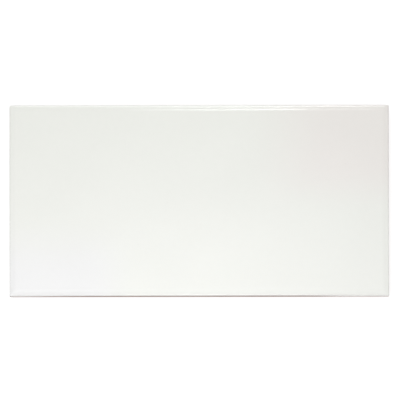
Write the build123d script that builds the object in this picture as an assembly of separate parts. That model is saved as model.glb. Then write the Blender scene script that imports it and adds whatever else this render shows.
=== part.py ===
from build123d import *
import math
import os

# A glazed ceramic wall tile, dry pressed and fired as one piece.
# It lies glazed face up. +X runs along its length and +Z out of the glazed face.
# The origin is the middle of the back, on the plane that the back ribs rest on.
# All sizes are millimetres, and an inset is measured inwards from the widest outline.

# Overall size
LENGTH = 150.0
WIDTH = 75.8
THICKNESS = 7.0

# Pressed sides: they narrow from the die line down to the back and up to the face.
DIE_LINE_HEIGHT = 2.0
BACK_TAPER_INSET = 0.45
FACE_DRAFT_INSET = 0.1

# Cushion edge of the face: a tight nose at the side runs into a wide, soft shoulder.
SIDE_LEAN_DEG = 1.5
NOSE_RADIUS = 0.6
SHOULDER_RADIUS = 6.5
SHOULDER_TURN_DEG = 20.0
NOSE_STATIONS = 5
SHOULDER_STATIONS = 7

# Corners seen from above: nearly square at the outline, rounder towards the face.
CORNER_RADIUS = 0.7
CORNER_GROWTH = 0.3

# Adhesive keys: a grid of shallow pockets between ribs, inside a plain border.
POCKETS_ALONG = 10
POCKETS_ACROSS = 5
BORDER = 4.0
RIB_WIDTH = 2.4
POCKET_DEPTH = 0.6
POCKET_WALL_LEAN_DEG = 36.0
POCKET_CORNER_RADIUS = 1.6


def outline(inset, height):
    """The tile's outline at a height, as a flat section with rounded corners."""
    section = RectangleRounded(
        LENGTH - 2 * inset,
        WIDTH - 2 * inset,
        CORNER_RADIUS + CORNER_GROWTH * inset,
    )
    return Pos(0, 0, height) * section


def evenly(first, last, count):
    """Evenly spaced values from first to last, both included."""
    return [first + (last - first) * step / (count - 1) for step in range(count)]


def cushion_profile():
    """Inset and height of each station round the cushion edge, from side to flat face.

    Each arc is followed by the slope of its surface. The shoulder ends level with the
    flat face, and the nose starts where the shoulder has turned down by its full turn.
    """
    steepest = math.radians(90 - SIDE_LEAN_DEG)
    meeting = math.radians(SHOULDER_TURN_DEG)
    nose_width = NOSE_RADIUS * (math.sin(steepest) - math.sin(meeting))
    shoulder_drop = SHOULDER_RADIUS * (1 - math.cos(meeting))
    flat_inset = FACE_DRAFT_INSET + nose_width + SHOULDER_RADIUS * math.sin(meeting)

    nose = [
        (
            FACE_DRAFT_INSET + NOSE_RADIUS * (math.sin(steepest) - math.sin(slope)),
            THICKNESS - shoulder_drop - NOSE_RADIUS * (math.cos(meeting) - math.cos(slope)),
        )
        for slope in evenly(steepest, meeting, NOSE_STATIONS)
    ]
    shoulder = [
        (
            flat_inset - SHOULDER_RADIUS * math.sin(slope),
            THICKNESS - SHOULDER_RADIUS * (1 - math.cos(slope)),
        )
        for slope in evenly(meeting, 0, SHOULDER_STATIONS)
    ]
    return nose + shoulder[1:]


def pressed_blank():
    """The body without its keys: two drafted side bands, capped by the cushion edge."""
    edge = cushion_profile()
    back_band = loft([outline(BACK_TAPER_INSET, 0), outline(0, DIE_LINE_HEIGHT)], ruled=True)
    face_band = loft([outline(0, DIE_LINE_HEIGHT), outline(*edge[0])], ruled=True)
    cushion = loft([outline(inset, height) for inset, height in edge])
    return back_band + face_band + cushion


def key_pocket(length, width):
    """One shallow pocket, open downwards, whose walls lean in towards its floor."""
    mouth = RectangleRounded(length, width, POCKET_CORNER_RADIUS)
    return extrude(mouth, amount=POCKET_DEPTH, taper=POCKET_WALL_LEAN_DEG)


def key_pockets():
    """The grid of pockets. An even count along the length leaves a rib over the origin."""
    pitch_along = (LENGTH - 2 * BORDER) / POCKETS_ALONG
    pitch_across = (WIDTH - 2 * BORDER) / POCKETS_ACROSS
    pocket = key_pocket(pitch_along - RIB_WIDTH, pitch_across - RIB_WIDTH)
    places = GridLocations(pitch_along, pitch_across, POCKETS_ALONG, POCKETS_ACROSS)
    return [place * pocket for place in places]


ceramic_tile = pressed_blank() - key_pockets()

os.makedirs("parts", exist_ok=True)
export_step(ceramic_tile, "parts/ceramic_tile.step")
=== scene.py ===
import math

import bpy
import numpy as np
from mathutils import Matrix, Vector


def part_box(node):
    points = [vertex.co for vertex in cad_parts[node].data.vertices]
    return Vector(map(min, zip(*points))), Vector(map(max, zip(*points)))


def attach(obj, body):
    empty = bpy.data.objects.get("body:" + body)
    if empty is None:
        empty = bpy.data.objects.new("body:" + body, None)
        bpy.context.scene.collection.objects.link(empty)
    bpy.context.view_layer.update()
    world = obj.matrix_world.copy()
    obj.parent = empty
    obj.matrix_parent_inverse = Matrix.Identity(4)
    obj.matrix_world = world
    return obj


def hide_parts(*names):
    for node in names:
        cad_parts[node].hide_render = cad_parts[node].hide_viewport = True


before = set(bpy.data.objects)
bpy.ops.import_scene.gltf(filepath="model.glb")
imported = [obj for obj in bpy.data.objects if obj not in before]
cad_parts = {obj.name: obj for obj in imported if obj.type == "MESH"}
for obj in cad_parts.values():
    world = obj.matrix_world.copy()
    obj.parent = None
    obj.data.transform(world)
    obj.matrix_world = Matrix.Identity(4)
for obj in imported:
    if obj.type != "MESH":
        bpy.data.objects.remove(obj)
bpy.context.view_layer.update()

MM = 0.001
NODE = "ceramic_tile"

# Sizes of the tile in millimetres. The length and the width come from the CAD box, and the
# rest are the part's own values, but for the corners, which are a little sharper here.
low_corner, high_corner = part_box(NODE)
LENGTH = (high_corner[0] - low_corner[0]) / MM
WIDTH = (high_corner[1] - low_corner[1]) / MM
THICKNESS = 7.0

DIE_LINE_HEIGHT = 2.0
FACE_DRAFT_INSET = 0.1
SIDE_LEAN_DEG = 1.5
NOSE_RADIUS = 0.6
SHOULDER_RADIUS = 6.5
SHOULDER_TURN_DEG = 20.0
CORNER_RADIUS = 0.4
CORNER_GROWTH = 0.3

POCKETS_ALONG = 10
POCKETS_ACROSS = 5
BORDER = 4.0
RIB_WIDTH = 2.4
POCKET_DEPTH = 0.6
POCKET_WALL_LEAN_DEG = 36.0
POCKET_WALL_RUN = POCKET_DEPTH * math.tan(math.radians(POCKET_WALL_LEAN_DEG))
POCKET_CORNER_RADIUS = 1.6

# Mesh density: steps along one pocket cell, steps round half a corner, and stations round
# the two arcs of the cushion edge.
CELL_STEPS = 14
STEPS_ALONG = CELL_STEPS * POCKETS_ALONG
STEPS_ACROSS = CELL_STEPS * POCKETS_ACROSS
CORNER_STEPS = 5
POCKET_CORNER_STEPS = 3
SHOULDER_STATIONS = 13
NOSE_STATIONS = 10

# The flat face: inset of its grid, inset of the ring round that, and how far outside the
# cushion edge's start the last flat ring lies.
CORE_INSET = 4.1
FLAT_RING_INSET = 3.3
FLAT_MARGIN = 0.12

# The glaze runs a little way down the sides and ends in a soft, uneven bead. On the -Y
# side its line dips in two places and runs furthest down near the +X corner. The run
# starts and is full at two places along X, and the -Y side's share of both grows between
# two places along -Y. Each dip has its middle along X, its spread and its drop.
GLAZE_LINE_HEIGHT = 5.45
GLAZE_LINE_SWING = 0.3
GLAZE_LINE_HARMONICS = (2, 3, 5, 8, 11, 17, 24, 33, 46, 61, 83)
GLAZE_RUN = 1.6
GLAZE_RUN_SWING = 0.2 * GLAZE_RUN
GLAZE_RUN_HARMONICS = (13, 19, 29, 43, 67)
GLAZE_RUN_START, GLAZE_RUN_FULL = 44, 58
FRONT_START, FRONT_FULL = -10, 30
GLAZE_DIPS = ((-76.0, 18.0, 1.2), (-11.0, 13.0, 0.3))

# Above the bead: share of the way down to it, and how far the glaze stands proud. In the
# bead: height above the glaze line, and share of the bead's depth.
GLAZE_BEAD = 0.05
BEAD_HEIGHT = 0.3
ABOVE_BEAD = ((0.33, 0.01), (0.66, 0.025))
BEAD_SECTION = ((BEAD_HEIGHT, 0.8), (0.2, 0.97), (0.12, 1.0), (0.05, 0.82), (0.012, 0.45))
BELOW_GLAZE_LINE = (0.08, 0.3)

# Bare side, as heights and insets: a fine flash at the die line, the back taper, a worn
# arris and the outer part of the border.
BARE_SECTION = (
    (2.62, 0.03),
    (2.24, 0.027),
    (2.1, 0.02),
    (2.04, 0.008),
    (1.98, 0.0),
    (1.93, 0.02),
    (1.84, 0.062),
    (1.6, 0.115),
    (1.1, 0.21),
    (0.6, 0.315),
    (0.3, 0.385),
    (0.17, 0.425),
    (0.08, 0.48),
    (0.025, 0.56),
    (0.0, 0.68),
    (0.0, 0.95),
    (0.0, 2.2),
)

# Pocket, as insets from its mouth and heights: the rib's soft edge, the wall and the floor.
POCKET_SECTION = (
    (-0.45, 0.0),
    (-0.16, 0.004),
    (-0.05, 0.03),
    (0.04, 0.095),
    (POCKET_WALL_RUN - 0.06, POCKET_DEPTH - 0.1),
    (POCKET_WALL_RUN + 0.03, POCKET_DEPTH - 0.03),
    (POCKET_WALL_RUN + 0.15, POCKET_DEPTH),
    (1.1, POCKET_DEPTH),
)
POCKET_FLOOR_INSET = 1.9
POCKET_LEAST_RADIUS = 0.4
SHALLOWEST_POCKET = 0.94

random = np.random.default_rng(31)


def waves(count, shortest, longest, depth):
    """A random sum of plane waves in millimetres, as a function of x and y."""
    lengths = np.geomspace(shortest, longest, count)
    angles = random.uniform(0, math.tau, count)
    shifts = random.uniform(0, math.tau, count)
    sizes = lengths / lengths.sum() * depth

    def height(x, y):
        total = np.zeros_like(x)
        for length, angle, shift, size in zip(lengths, angles, shifts, sizes):
            along = x * math.cos(angle) + y * math.sin(angle)
            total += size * np.sin(math.tau * along / length + shift)
        return total

    return height


def round_wave(points, harmonics, depth):
    """A random wave that closes on itself round a ring of points, between -depth and depth."""
    turn = np.arange(points) / points * math.tau
    total = np.zeros(points)
    for harmonic in harmonics:
        total += np.sin(harmonic * turn + random.uniform(0, math.tau)) / harmonic**0.4
    return depth * total / np.abs(total).max()


def smooth(value, start, end):
    """A share that grows softly from 0 at the start to 1 at the end."""
    t = np.clip((value - start) / (end - start), 0, 1)
    return t * t * (3 - 2 * t)


def rounded_ring(half_x, half_y, radius, along, across, corner_steps):
    """Points anticlockwise round a rounded rectangle, from the middle of its -X -Y corner."""
    signs = [(-1, -1), (1, -1), (1, 1), (-1, 1)]
    middles = [np.array([sx * (half_x - radius), sy * (half_y - radius)]) for sx, sy in signs]
    parts = []
    for side, steps in enumerate((along, across, along, across)):
        here, there = middles[side], middles[(side + 1) % 4]
        facing = math.radians(side * 90 - 90)
        leave = facing - math.pi / 4 * (1 - np.arange(corner_steps) / corner_steps)
        arrive = facing + math.pi / 4 * np.arange(1, corner_steps) / corner_steps
        share = np.linspace(0, 1, steps - 2 * corner_steps + 1)[:, None]
        edge = here + radius * np.array([math.cos(facing), math.sin(facing)])
        parts.append(here + radius * np.column_stack([np.cos(leave), np.sin(leave)]))
        parts.append(edge + share * (there - here))
        parts.append(there + radius * np.column_stack([np.cos(arrive), np.sin(arrive)]))
    return np.vstack(parts)


def rim(block):
    """The indices anticlockwise round a block of vertices, from its lowest corner."""
    return np.concatenate([block[:-1, 0], block[-1, :-1], block[:0:-1, -1], block[0, :0:-1]])


class Skin:
    """Vertices and faces of one closed mesh, with a material index for each face."""

    def __init__(self):
        self.points = []
        self.faces = []
        self.materials = []

    def add(self, xy, z):
        """New vertices at these places and heights. Gives their indices."""
        first = sum(len(block) for block in self.points)
        heights = np.broadcast_to(z, len(xy))
        self.points.append(np.column_stack([xy, heights]))
        return np.arange(first, first + len(xy))

    def add_block(self, lines_x, lines_y, z):
        """New vertices where these grid lines cross. Gives their indices as [x, y]."""
        across_x, across_y = np.meshgrid(lines_x, lines_y, indexing="ij")
        indices = self.add(np.column_stack([across_x.ravel(), across_y.ravel()]), z)
        return indices.reshape(across_x.shape)

    def cover(self, quads, material):
        self.faces.append(quads)
        self.materials.append(np.full(len(quads), material))

    def band(self, inner, outer, material):
        """Quads between two rings, facing out when the walk goes from face to back."""
        quads = np.column_stack([inner, outer, np.roll(outer, -1), np.roll(inner, -1)])
        self.cover(quads, material)

    def ring(self, last, xy, z, material):
        """A new ring of vertices, joined to the last one by a band. Gives its indices."""
        indices = self.add(xy, z)
        self.band(last, indices, material)
        return indices

    def grid(self, block, material, up):
        """Quads of a block of vertices, facing up or down."""
        a, b = block[:-1, :-1].ravel(), block[1:, :-1].ravel()
        c, d = block[1:, 1:].ravel(), block[:-1, 1:].ravel()
        self.cover(np.column_stack([a, b, c, d] if up else [a, d, c, b]), material)


GLAZE, BODY = 0, 1
skin = Skin()


def outline_ring(inset):
    """The tile's outline at an inset."""
    return rounded_ring(
        LENGTH / 2 - inset,
        WIDTH / 2 - inset,
        CORNER_RADIUS + CORNER_GROWTH * inset,
        STEPS_ALONG,
        STEPS_ACROSS,
        CORNER_STEPS,
    )


def core_lines(half, steps):
    """Grid lines across the flat face, close together near the corners."""
    corner = CORNER_RADIUS + CORNER_GROWTH * CORE_INSET
    near = half - corner * np.arange(CORNER_STEPS) / CORNER_STEPS
    middle = np.linspace(-(half - corner), half - corner, steps - 2 * CORNER_STEPS + 1)
    return np.concatenate([-near, middle, near[::-1]])


# Face: a grid over the flat part, then rings down the cushion edge.
core = skin.add_block(
    core_lines(LENGTH / 2 - CORE_INSET, STEPS_ALONG),
    core_lines(WIDTH / 2 - CORE_INSET, STEPS_ACROSS),
    THICKNESS,
)
skin.grid(core, GLAZE, up=True)
last = rim(core)

steepest = math.radians(90 - SIDE_LEAN_DEG)
meeting = math.radians(SHOULDER_TURN_DEG)
nose_width = NOSE_RADIUS * (math.sin(steepest) - math.sin(meeting))
shoulder_drop = SHOULDER_RADIUS * (1 - math.cos(meeting))
flat_inset = FACE_DRAFT_INSET + nose_width + SHOULDER_RADIUS * math.sin(meeting)
profile = [(FLAT_RING_INSET, THICKNESS), (flat_inset + FLAT_MARGIN, THICKNESS)]
profile += [
    (
        flat_inset - SHOULDER_RADIUS * math.sin(slope),
        THICKNESS - SHOULDER_RADIUS * (1 - math.cos(slope)),
    )
    for slope in np.linspace(0, meeting, SHOULDER_STATIONS)
]
profile += [
    (
        FACE_DRAFT_INSET + NOSE_RADIUS * (math.sin(steepest) - math.sin(slope)),
        THICKNESS - shoulder_drop - NOSE_RADIUS * (math.cos(meeting) - math.cos(slope)),
    )
    for slope in np.linspace(meeting, steepest, NOSE_STATIONS)[1:]
]
for inset, height in profile:
    last = skin.ring(last, outline_ring(inset), height, GLAZE)
nose_start = profile[-1][1]

# Course of the glaze line round the tile.
outline_points = outline_ring(0)
round_x, round_y = outline_points.T
glaze_line = GLAZE_LINE_HEIGHT + round_wave(
    len(outline_points), GLAZE_LINE_HARMONICS, GLAZE_LINE_SWING
)
front = smooth(-round_y, FRONT_START, FRONT_FULL)
drips = GLAZE_RUN + round_wave(len(outline_points), GLAZE_RUN_HARMONICS, GLAZE_RUN_SWING)
glaze_line -= drips * smooth(round_x, GLAZE_RUN_START, GLAZE_RUN_FULL) * front
for middle, spread, drop in GLAZE_DIPS:
    glaze_line -= drop * np.exp(-(((round_x - middle) / spread) ** 2)) * front


def side_ring(height, proud):
    """A ring whose height may vary round the tile, standing a little proud of the side."""
    draft = FACE_DRAFT_INSET * (height - DIE_LINE_HEIGHT) / (nose_start - DIE_LINE_HEIGHT)
    inset = np.maximum(draft - proud, 0.0)
    return outline_points + (outline_ring(1) - outline_points) * np.reshape(inset, (-1, 1))


# Sides: the glaze with its bead, then the bare body.
for share, proud in ABOVE_BEAD:
    height = nose_start + (glaze_line + BEAD_HEIGHT - nose_start) * share
    last = skin.ring(last, side_ring(height, proud), height, GLAZE)
for above, proud in BEAD_SECTION:
    height = glaze_line + above
    last = skin.ring(last, side_ring(height, GLAZE_BEAD * proud), height, GLAZE)
last = skin.ring(last, side_ring(glaze_line, 0.0), glaze_line, GLAZE)
for below in BELOW_GLAZE_LINE:
    height = glaze_line - below
    last = skin.ring(last, side_ring(height, 0.0), height, BODY)
for height, inset in BARE_SECTION:
    last = skin.ring(last, outline_ring(inset), height, BODY)

# Back: a grid of cells, each with a drafted pocket between soft-edged ribs.
pitch_x = (LENGTH - 2 * BORDER) / POCKETS_ALONG
pitch_y = (WIDTH - 2 * BORDER) / POCKETS_ACROSS
keys_x, keys_y = BORDER - LENGTH / 2, BORDER - WIDTH / 2
back = -np.ones((STEPS_ALONG + 1, STEPS_ACROSS + 1), dtype=int)
on_line = np.zeros(back.shape, dtype=bool)
on_line[::CELL_STEPS, :] = True
on_line[:, ::CELL_STEPS] = True
steps_x, steps_y = np.argwhere(on_line).T
line_xy = np.column_stack(
    [steps_x * pitch_x / CELL_STEPS + keys_x, steps_y * pitch_y / CELL_STEPS + keys_y]
)
back[on_line] = skin.add(line_xy, 0.0)
skin.band(last, rim(back), BODY)

mouth_x = (pitch_x - RIB_WIDTH) / 2
mouth_y = (pitch_y - RIB_WIDTH) / 2
floor_shares = np.linspace(-1, 1, CELL_STEPS + 1)
for column in range(POCKETS_ALONG):
    for row in range(POCKETS_ACROSS):
        middle_x = (column + 0.5) * pitch_x + keys_x
        middle_y = (row + 0.5) * pitch_y + keys_y
        x0, y0 = column * CELL_STEPS, row * CELL_STEPS
        last = rim(back[x0 : x0 + CELL_STEPS + 1, y0 : y0 + CELL_STEPS + 1])
        depth = POCKET_DEPTH * random.uniform(SHALLOWEST_POCKET, 1.0)
        for inset, height in POCKET_SECTION:
            outline = rounded_ring(
                mouth_x - inset,
                mouth_y - inset,
                max(POCKET_CORNER_RADIUS - inset, POCKET_LEAST_RADIUS),
                CELL_STEPS,
                CELL_STEPS,
                POCKET_CORNER_STEPS,
            )
            places = np.array([middle_x, middle_y]) + outline
            last = skin.ring(last, places, height * depth / POCKET_DEPTH, BODY)
        pocket_floor = skin.add_block(
            middle_x + floor_shares * (mouth_x - POCKET_FLOOR_INSET),
            middle_y + floor_shares * (mouth_y - POCKET_FLOOR_INSET),
            depth,
        )
        skin.band(last, rim(pocket_floor), BODY)
        skin.grid(pocket_floor, BODY, up=False)

points = np.vstack(skin.points)
faces = np.vstack(skin.faces)
face_materials = np.concatenate(skin.materials)

# Soft unevenness of the glazed face, fading out down the cushion edge, and of the floors
# of the pockets.
FACE_WAVE_FULL = THICKNESS - 0.25
FLOOR_WAVE_START, FLOOR_WAVE_FULL, FLOOR_WAVE_TOP = 0.4, 0.5, 0.7
face_wave = waves(count=9, shortest=16.0, longest=62.0, depth=0.05)
floor_wave = waves(count=7, shortest=3.5, longest=12.0, depth=0.05)
x, y, z = points.T
lift = face_wave(x, y)
points[:, 2] -= smooth(z, nose_start, FACE_WAVE_FULL) * (lift.max() - lift)
in_pocket = smooth(z, FLOOR_WAVE_START, FLOOR_WAVE_FULL) * (z < FLOOR_WAVE_TOP)
points[:, 2] += in_pocket * floor_wave(x, y)

mesh = bpy.data.meshes.new("fired_tile")
mesh.from_pydata((points * MM).tolist(), [], faces.tolist())
mesh.polygons.foreach_set("material_index", face_materials.astype(np.int32))
mesh.polygons.foreach_set("use_smooth", np.ones(len(faces), dtype=bool))
mesh.update()
tile = bpy.data.objects.new("fired_tile", mesh)
bpy.context.collection.objects.link(tile)


def add_node(tree, kind, inputs=None, **settings):
    """A node with its settings and inputs. An input is a value or another node's socket."""
    made = tree.nodes.new(kind)
    for name, value in settings.items():
        setattr(made, name, value)
    for name, value in (inputs or {}).items():
        if isinstance(value, bpy.types.NodeSocket):
            tree.links.new(value, made.inputs[name])
        else:
            made.inputs[name].default_value = value
    return made


def new_tree(name):
    material = bpy.data.materials.new(name)
    material.use_nodes = True
    material.node_tree.nodes.clear()
    return material, material.node_tree


def place_of(tree):
    """The point on the surface in metres, in the tile's own frame."""
    return add_node(tree, "ShaderNodeTexCoord").outputs["Object"]


def spot_of(tree):
    """The point on the surface in metres, in the scene."""
    return add_node(tree, "ShaderNodeNewGeometry").outputs["Position"]


def axes_of(tree, place):
    return add_node(tree, "ShaderNodeSeparateXYZ", {"Vector": place}).outputs


def noise(tree, place, size, detail=2.0, roughness=0.5):
    """Noise between 0 and 1 whose features are about size millimetres across."""
    made = add_node(
        tree,
        "ShaderNodeTexNoise",
        {"Vector": place, "Scale": 1 / (size * MM), "Detail": detail, "Roughness": roughness},
    )
    return made.outputs["Fac"]


def specks(tree, place, spacing, inner, outer, strength):
    """The share of scattered dots, about spacing millimetres apart.

    It fades from strength to 0 between the two distances, which are parts of the spacing.
    """
    cells = add_node(
        tree, "ShaderNodeTexVoronoi", {"Vector": place, "Scale": 1 / (spacing * MM)}, feature="F1"
    )
    return remap(tree, cells.outputs["Distance"], inner, outer, strength, 0.0)


def remap(tree, value, from_low, from_high, to_low=0.0, to_high=1.0, soft=True):
    """The value carried from one span to another, softly or in proportion, held at its ends."""
    made = add_node(
        tree,
        "ShaderNodeMapRange",
        {
            "Value": value,
            "From Min": from_low,
            "From Max": from_high,
            "To Min": to_low,
            "To Max": to_high,
        },
        interpolation_type="SMOOTHSTEP" if soft else "LINEAR",
    )
    return made.outputs["Result"]


def combine(tree, operation, *values):
    """Two or more values joined one after the other by the same operation."""
    total = values[0]
    for value in values[1:]:
        made = add_node(tree, "ShaderNodeMath", {0: total, 1: value}, operation=operation)
        total = made.outputs[0]
    return total


def mix_colour(tree, share, first, second, blend="MIX"):
    made = add_node(tree, "ShaderNodeMix", data_type="RGBA", blend_type=blend)
    for index, value in ((0, share), (6, first), (7, second)):
        if isinstance(value, bpy.types.NodeSocket):
            tree.links.new(value, made.inputs[index])
        else:
            made.inputs[index].default_value = value if index == 0 else (*value, 1.0)
    return made.outputs[2]


def grey(tree, value):
    """The same number in all three channels."""
    made = add_node(
        tree, "ShaderNodeCombineColor", {"Red": value, "Green": value, "Blue": value}
    )
    return made.outputs["Color"]


def shade_by(tree, colour, value):
    """The colour, multiplied by a number that varies over the surface."""
    return mix_colour(tree, 1.0, colour, grey(tree, value), "MULTIPLY")


def bumped(tree, distance, height):
    """The surface's normal, bent by a relief of this distance in metres."""
    made = add_node(
        tree, "ShaderNodeBump", {"Strength": 1.0, "Distance": distance, "Height": height}
    )
    return made.outputs["Normal"]


def output(tree, shader, kind="Material"):
    add_node(tree, "ShaderNodeOutput" + kind, {"Surface": shader.outputs[0]})


# Glaze colours at the two ends of a painted gradient: painted light towards -Y, painted shade
# towards +Y.
GLAZE_PAINTED_LIGHT_END = (0.852, 0.860, 0.822)
GLAZE_PAINTED_SHADE_END = (0.782, 0.792, 0.748)
THIN_GLAZE = (0.76, 0.73, 0.69)
THIN_GLAZE_SHARE = 0.22
GLAZE_SPECK = (0.42, 0.36, 0.29)
ORANGE_PEEL_DEPTH = 2.2e-6

# Painted light and shade on the glaze, as slow drifts of its tone. Each grows along one or
# two axes, from the first place in metres to the second, and multiplies the colour by its tint.
PAINTED_LIGHT_DRIFTS = (
    # Painted shade, a little deeper towards both ends.
    ((("X", -0.01, 0.1),), (0.952, 0.952, 0.952)),
    ((("X", -0.015, -0.09),), (0.98, 0.98, 0.98)),
    # Painted shade, darker and warmer in the +X +Y quarter, and a painted cool reflection in the
    # opposite one.
    ((("X", 0.016, 0.052), ("Y", -0.006, 0.014)), (1.0, 0.958, 0.972)),
    ((("X", -0.024, -0.044), ("Y", -0.006, -0.03)), (1.005, 0.995, 1.04)),
    # Painted shade on the -Y shoulder near its -X end, and a painted highlight along the +Y rim.
    ((("Y", -0.0338, -0.0356), ("X", 0.0, -0.04)), (0.984, 0.984, 0.984)),
    ((("Y", 0.0371, 0.0376),), (1.085, 1.09, 1.10)),
)
# Painted light on the -Y nose towards -X, and painted shade deepening towards +X.
NOSE_PAINTED_LIGHT = (1.03, 1.03, 1.03)
NOSE_PAINTED_SHADE = (0.875, 0.835, 0.86)


def white_gloss_glaze():
    material, tree = new_tree("white_gloss_glaze")
    place = place_of(tree)
    axes = axes_of(tree, place)

    # Tone: painted shade, deeper towards +Y, then the painted light and shade drifts.
    painted_light_share = remap(tree, axes["Y"], -0.045, 0.05)
    colour = mix_colour(tree, painted_light_share, GLAZE_PAINTED_LIGHT_END, GLAZE_PAINTED_SHADE_END)
    for spans, painted_tint in PAINTED_LIGHT_DRIFTS:
        shares = [remap(tree, axes[axis], start, end) for axis, start, end in spans]
        colour = mix_colour(tree, combine(tree, "MULTIPLY", *shares), colour, painted_tint, "MULTIPLY")

    # Along the -Y nose: painted light towards -X, and painted shade that deepens towards +X, as
    # far as the run.
    nose_shade_towards_x = remap(tree, axes["X"], -0.065, 0.025)
    before_run = remap(tree, axes["X"], 0.048, 0.064, 1.0, 0.3)
    along = combine(tree, "MULTIPLY", nose_shade_towards_x, before_run)
    nose = mix_colour(tree, along, NOSE_PAINTED_LIGHT, NOSE_PAINTED_SHADE)
    painted_light_share = remap(tree, axes["Y"], -0.0373, -0.0377)
    colour = mix_colour(tree, painted_light_share, colour, nose, "MULTIPLY")

    # Where the glaze pulls thin below the nose, the warm body shows through.
    ragged = remap(tree, noise(tree, place, size=9.0), 0.3, 0.7, -0.0002, 0.0002)
    edge = combine(tree, "ADD", axes["Z"], ragged)
    thin = remap(tree, edge, 0.0059, 0.0052, 0.0, THIN_GLAZE_SHARE)
    colour = mix_colour(tree, thin, colour, THIN_GLAZE)

    # Faint clouds and mottle, and sparse pinprick specks.
    clouds = noise(tree, place, size=34.0, detail=3.0)
    mottle = noise(tree, place, size=2.4, detail=3.0, roughness=0.6)
    tone = combine(
        tree,
        "MULTIPLY",
        remap(tree, clouds, 0.3, 0.7, 0.988, 1.0),
        remap(tree, mottle, 0.25, 0.75, 0.992, 1.0),
    )
    colour = shade_by(tree, colour, tone)
    speck = specks(tree, place, spacing=8.0, inner=0.012, outer=0.026, strength=0.16)
    colour = mix_colour(tree, speck, colour, GLAZE_SPECK)

    # Orange peel and a slightly uneven gloss.
    peel = noise(tree, place, size=1.7, detail=2.0, roughness=0.45)
    pull = noise(tree, place, size=5.5, detail=1.0)
    height = combine(tree, "ADD", combine(tree, "MULTIPLY", peel, 0.45), pull)
    gloss = remap(tree, noise(tree, place, size=13.0), 0.3, 0.7, 0.085, 0.12)
    shader = add_node(
        tree,
        "ShaderNodeBsdfPrincipled",
        {
            "Base Color": colour,
            "Roughness": gloss,
            "IOR": 1.5,
            "Normal": bumped(tree, ORANGE_PEEL_DEPTH, height),
        },
    )
    output(tree, shader)
    return material


BODY_DEEP = (0.30, 0.195, 0.162)
BODY_PALE = (0.36, 0.24, 0.20)
BODY_SPECK = (0.25, 0.18, 0.15)
KILN_WASH = (0.86, 0.84, 0.80)
BODY_GRAIN_DEPTH = 2.2e-5


def fired_body():
    material, tree = new_tree("fired_body")
    place = place_of(tree)

    # Dusky clay with a soft blush, fine grain and dark specks.
    blush = remap(tree, noise(tree, place, size=24.0, detail=3.0), 0.3, 0.7)
    colour = mix_colour(tree, blush, BODY_DEEP, BODY_PALE)
    grain = noise(tree, place, size=0.35, detail=3.0, roughness=0.65)
    colour = shade_by(tree, colour, remap(tree, grain, 0.25, 0.75, 0.9, 1.05))
    speck = specks(tree, place, spacing=2.6, inner=0.03, outer=0.07, strength=0.5)
    colour = mix_colour(tree, speck, colour, BODY_SPECK)

    # A thin white wash, rubbed onto the ribs so that they don't stick in the kiln.
    low = remap(tree, axes_of(tree, place)["Z"], 0.00002, 0.00012, 1.0, 0.0)
    patches = noise(tree, place, size=6.0, detail=5.0, roughness=0.7)
    wash = combine(tree, "MULTIPLY", low, remap(tree, patches, 0.3, 0.72, 0.05, 0.6))
    colour = mix_colour(tree, wash, colour, KILN_WASH)

    pits = noise(tree, place, size=0.28, detail=3.0, roughness=0.7)
    press = noise(tree, place, size=1.6)
    rough = remap(tree, noise(tree, place, size=1.1), 0.3, 0.7, 0.82, 0.95)
    shader = add_node(
        tree,
        "ShaderNodeBsdfPrincipled",
        {
            "Base Color": colour,
            "Roughness": rough,
            "Specular IOR Level": 0.2,
            "Normal": bumped(tree, BODY_GRAIN_DEPTH, combine(tree, "ADD", pits, press)),
        },
    )
    output(tree, shader)
    return material


mesh.materials.append(white_gloss_glaze())
mesh.materials.append(fired_body())
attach(tile, "root")
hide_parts(NODE)


def seen_directly(tree):
    """1 for camera, glossy and transmission rays, and 0 for light that falls on a surface."""
    path = add_node(tree, "ShaderNodeLightPath").outputs
    kinds = ("Is Camera Ray", "Is Glossy Ray", "Is Transmission Ray")
    return combine(tree, "MAXIMUM", *(path[kind] for kind in kinds))


# Floor: pale, and white where it is seen in full light or far from the tile. It keeps a
# soft contact shadow.
FLOOR_COLOUR = 0.5
SEEN_SHARE = 0.41
SEEN_GLOW, FAR_GLOW = 0.74, 0.92
NEAR_FLOOR, FAR_FLOOR = 0.5, 1.8


def pale_floor():
    material, tree = new_tree("pale_floor")
    seen = seen_directly(tree)
    shade = remap(tree, seen, 0.0, 1.0, FLOOR_COLOUR, SEEN_SHARE, soft=False)
    away = add_node(tree, "ShaderNodeVectorMath", {0: spot_of(tree)}, operation="LENGTH")
    whiter = remap(tree, away.outputs["Value"], NEAR_FLOOR, FAR_FLOOR, SEEN_GLOW, FAR_GLOW)
    diffuse = add_node(tree, "ShaderNodeBsdfDiffuse", {"Color": grey(tree, shade)})
    glow = combine(tree, "MULTIPLY", seen, whiter)
    emission = add_node(tree, "ShaderNodeEmission", {"Strength": glow})
    total = add_node(
        tree, "ShaderNodeAddShader", {0: diffuse.outputs[0], 1: emission.outputs[0]}
    )
    output(tree, total)
    return material


# Overhead softbox: brightest over the middle and towards -Y, fading to +Y and both ends.
# The -X end of its bright patch is slanted.
CARD_PLACE = (-0.4, -0.57, 1.35)
CARD_GLOW = 1.0
CARD_EXTRA_GLOW = 2.4
CARD_SLANT = 1.5


def softbox_glow():
    material, tree = new_tree("softbox_glow")
    axes = axes_of(tree, spot_of(tree))
    slant = combine(tree, "MULTIPLY", axes["Y"], CARD_SLANT)
    slant = combine(tree, "SUBTRACT", axes["X"], slant)
    bright = combine(
        tree,
        "MULTIPLY",
        remap(tree, slant, -0.255, -0.129),
        remap(tree, axes["X"], 0.135, 0.0),
        remap(tree, axes["Y"], 0.187, -0.024),
        remap(tree, axes["Y"], -0.25, 0.03, 0.5, 1.0),
    )
    extra = combine(tree, "MULTIPLY", bright, CARD_EXTRA_GLOW)
    strength = combine(tree, "ADD", extra, CARD_GLOW)
    output(tree, add_node(tree, "ShaderNodeEmission", {"Strength": strength}))
    return material


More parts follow.
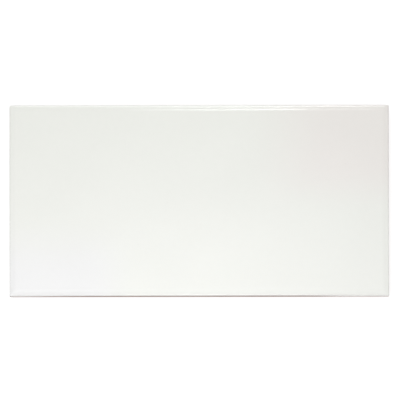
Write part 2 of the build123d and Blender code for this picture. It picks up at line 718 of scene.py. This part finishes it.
def flat_panel(name, half_x, half_y, material):
    """A flat rectangle round its own origin, in metres."""
    panel = bpy.data.meshes.new(name)
    corners = [(sx * half_x, sy * half_y, 0) for sx, sy in ((-1, -1), (1, -1), (1, 1), (-1, 1))]
    panel.from_pydata(corners, [], [(0, 1, 2, 3)])
    panel.materials.append(material)
    made = bpy.data.objects.new(name, panel)
    bpy.context.collection.objects.link(made)
    return made


floor = flat_panel("studio_floor", 8.0, 8.0, pale_floor())
card = flat_panel("overhead_softbox", 0.9, 0.8, softbox_glow())
card.location = CARD_PLACE
card.visible_camera = False

# World: white where it is seen, and an even fill of light elsewhere.
FILL = 0.296
world = bpy.data.worlds.new("studio")
bpy.context.scene.world = world
world.use_nodes = True
tree = world.node_tree
tree.nodes.clear()
strength = remap(tree, seen_directly(tree), 0.0, 1.0, FILL, 1.0, soft=False)
white = (1.0, 1.0, 1.0, 1.0)
background = add_node(tree, "ShaderNodeBackground", {"Color": white, "Strength": strength})
output(tree, background, "World")


def softbox(name, azimuth, zenith, distance, centre_x, size, radiance, roll=0.0, mirrored=True):
    """An area light aimed at a point on the X axis. Azimuth is from +Y towards -X, in degrees.

    Distances and sizes are in metres. One that isn't mirrored leaves the gloss alone.
    """
    light = bpy.data.lights.new(name, "AREA")
    light.shape = "RECTANGLE"
    light.size, light.size_y = size
    light.energy = radiance * math.pi * size[0] * size[1]
    made = bpy.data.objects.new(name, light)
    bpy.context.collection.objects.link(made)
    turn, tilt = math.radians(azimuth), math.radians(zenith)
    made.matrix_world = (
        Matrix.Translation((centre_x, 0.0, 0.0))
        @ Matrix.Rotation(turn, 4, "Z")
        @ Matrix.Rotation(-tilt, 4, "X")
        @ Matrix.Translation((0.0, 0.0, distance))
        @ Matrix.Rotation(math.radians(roll), 4, "Z")
    )
    made.visible_camera = False
    made.visible_glossy = mirrored


# The large softboxes light the tile, and aren't mirrored, so that the face keeps its tone
# from every side. Each has an azimuth, zenith, distance, size and radiance.
for name, azimuth, zenith, distance, size, radiance in (
    ("key_softbox", 12.0, 54.6, 1.8, (1.2, 1.1), 3.2),
    ("front_softbox", 205.0, 70.0, 2.2, (1.8, 0.9), 2.8),
    ("left_softbox", 90.0, 66.0, 2.0, (0.9, 0.9), 1.1),
    ("right_softbox", 270.0, 78.0, 2.0, (0.9, 0.6), 2.1),
):
    softbox(name, azimuth, zenith, distance, 0.0, size, radiance, mirrored=False)

# The narrow strips draw the highlights along the cushion edge. Each has an azimuth, zenith,
# centre along X, size, radiance and roll.
STRIP_DISTANCE = 1.1
for name, azimuth, zenith, centre_x, size, radiance, roll in (
    ("edge_strip", 0.0, 45.0, 0.0, (0.19, 0.22), 2.3, 0.0),
    ("upper_strip", 0.0, 18.7, 0.0235, (0.063, 0.112), 11.0, -14.0),
    ("middle_strip", 0.0, 28.0, 0.041, (0.048, 0.12), 4.2, 0.0),
    ("lower_strip", 0.0, 38.2, 0.014, (0.040, 0.085), 8.0, 0.0),
    ("right_strip", 0.0, 41.5, 0.0495, (0.034, 0.09), 11.0, 0.0),
    ("rim_strip", 0.0, 56.0, 0.073, (0.030, 0.26), 5.0, -8.0),
    ("front_strip", 180.0, 37.0, 0.009, (0.10, 0.16), 5.0, 0.0),
):
    softbox(name, azimuth, zenith, STRIP_DISTANCE, centre_x, size, radiance, roll)

# Camera: from above and a few degrees to the -Y side, with a long lens.
CAMERA_DISTANCE = 6.0
CAMERA_TILT_DEG = 5.0
CAMERA_ROLL_DEG = 0.09
CAMERA_REACH = 40.0
SENSOR_WIDTH_MM = 36.0
FRAME_WIDTH = 0.158
AIM = (0.0003, 0.00007, THICKNESS * MM)
lens = bpy.data.cameras.new("camera")
lens.sensor_width = SENSOR_WIDTH_MM
lens.lens = SENSOR_WIDTH_MM * CAMERA_DISTANCE / FRAME_WIDTH
lens.clip_end = CAMERA_REACH
camera = bpy.data.objects.new("camera", lens)
camera.matrix_world = (
    Matrix.Translation(AIM)
    @ Matrix.Rotation(math.radians(CAMERA_TILT_DEG), 4, "X")
    @ Matrix.Translation((0.0, 0.0, CAMERA_DISTANCE))
    @ Matrix.Rotation(math.radians(-CAMERA_ROLL_DEG), 4, "Z")
)
bpy.context.collection.objects.link(camera)
bpy.context.scene.camera = camera

bpy.context.scene.view_settings.view_transform = "Standard"
